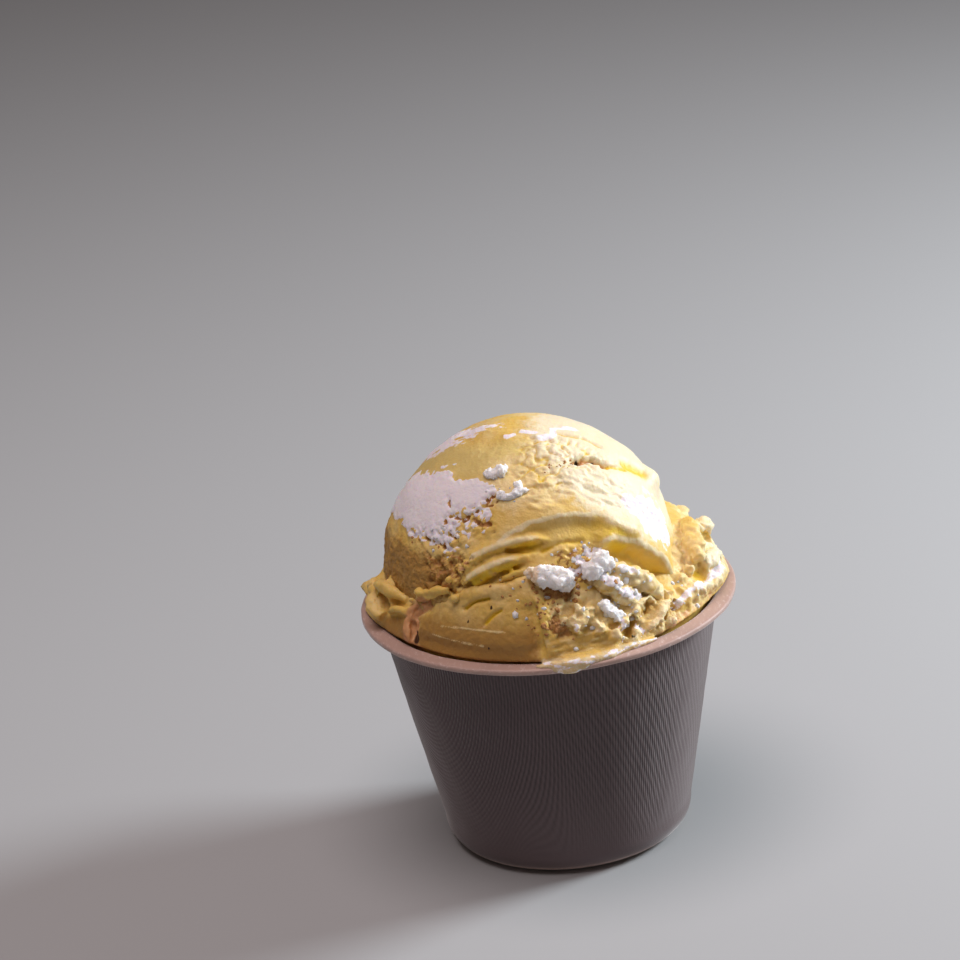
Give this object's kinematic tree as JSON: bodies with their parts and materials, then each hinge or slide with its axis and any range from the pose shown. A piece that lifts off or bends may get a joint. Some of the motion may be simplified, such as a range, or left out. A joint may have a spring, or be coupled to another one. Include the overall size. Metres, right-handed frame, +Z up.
{
  "type": "gelato cup",
  "caption": "Moulded fibre cup heaped with gelato: a folded round scoop on a scraped lower scoop, with meringue chunks.",
  "frame": {"origin": "on the table under the middle of the cup", "axes": "+Z up, -Y to the front as pictured, +X to the right"},
  "size_m": [0.09, 0.0909, 0.1045],
  "materials": {
    "fibre": "matt pressed plant fibre with a fine screen texture on the wall",
    "gelato": "creamy frozen gelato, softly glossy",
    "meringue": "dry crumbly meringue"
  },
  "bodies": {
    "root": {"cup": "fibre", "lower_scoop": "gelato", "upper_scoop": "gelato", "chunk_large": "meringue", "chunk_right": "meringue", "chunk_slab": "meringue", "chunk_upper": "meringue", "chunk_lower": "meringue"}
  },
  "joints": []
}
